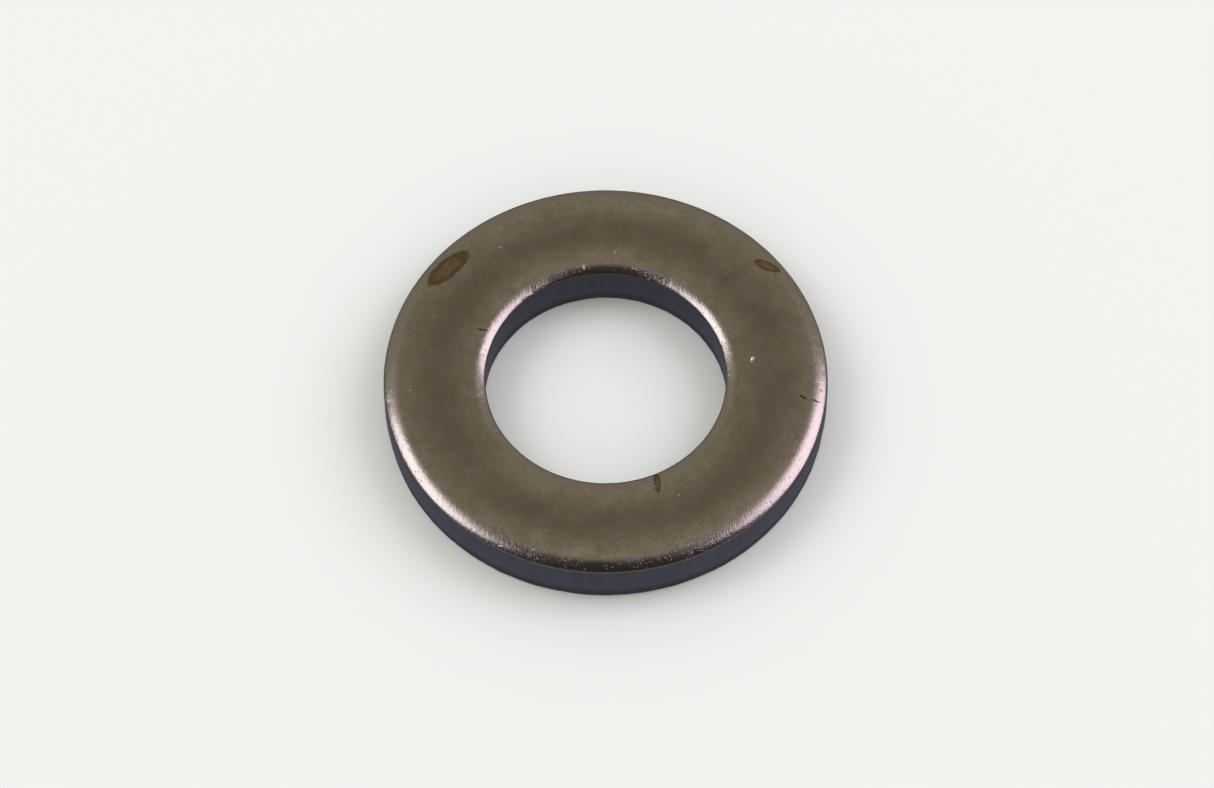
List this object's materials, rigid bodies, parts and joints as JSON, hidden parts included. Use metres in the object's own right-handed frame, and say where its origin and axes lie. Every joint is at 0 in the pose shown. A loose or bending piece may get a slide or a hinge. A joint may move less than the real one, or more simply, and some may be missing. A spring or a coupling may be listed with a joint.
{
  "type": "flat washer",
  "caption": "Stamped round flat washer with a bolt clearance hole, rolled upper edges and sheared walls, for spreading a bolt's clamping load.",
  "frame": {"origin": "on the washer's axis, in the plane of its lower (torn-edge) face, at the middle of the foot of its bounding box", "axes": "+Z along the washer's axis, from the lower face towards the rolled-edge face; X and Y are any two square directions in the lower face"},
  "size_m": [0.024, 0.024, 0.003],
  "materials": {
    "washer_steel": "tumbled plain steel with a warm grey-brown tarnish, satin faces, burnished rolled edges and darker sheared walls"
  },
  "bodies": {
    "root": {"flat_washer": "washer_steel"}
  },
  "joints": []
}
